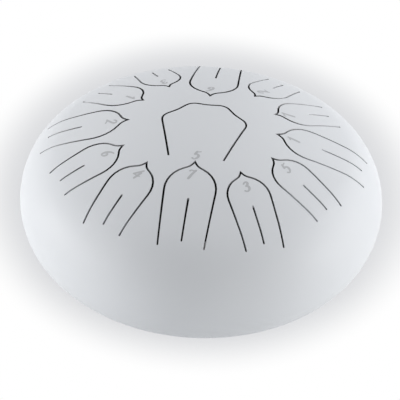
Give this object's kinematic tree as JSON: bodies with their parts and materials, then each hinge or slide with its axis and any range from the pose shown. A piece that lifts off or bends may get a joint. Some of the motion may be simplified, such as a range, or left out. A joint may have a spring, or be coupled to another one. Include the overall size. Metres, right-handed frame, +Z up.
{
  "type": "steel tongue drum",
  "caption": "Round tabletop steel drum with ogee-tipped tongues cut through a domed top, played with mallets or fingers.",
  "frame": {"origin": "on the floor under the drum's axis, at the level of the feet's undersides", "axes": "+Z up along the drum's axis, -Y towards the player, +X to the player's right"},
  "size_m": [0.3, 0.3, 0.1569],
  "materials": {
    "coated_steel": "satin pale grey powder coat",
    "weld_metal": "weld bead dressed flush and powder coated with the shells",
    "foot_rubber": "matt black rubber",
    "nickel_plate": "bright nickel plate on a sintered magnet"
  },
  "bodies": {
    "root": {"top_shell": "coated_steel", "bottom_shell": "coated_steel", "seam_weld": "weld_metal", "foot_front_right": "foot_rubber", "foot_back_right": "foot_rubber", "foot_back_left": "foot_rubber", "foot_front_left": "foot_rubber", "magnet_b3": "nickel_plate", "magnet_e4": "nickel_plate", "magnet_g4": "nickel_plate", "magnet_c4": "nickel_plate", "magnet_b4": "nickel_plate", "magnet_d5": "nickel_plate", "magnet_a3": "nickel_plate", "magnet_e5": "nickel_plate", "magnet_c5": "nickel_plate", "magnet_d4": "nickel_plate", "magnet_a4": "nickel_plate", "magnet_f4": "nickel_plate", "magnet_g3": "nickel_plate"}
  },
  "joints": []
}
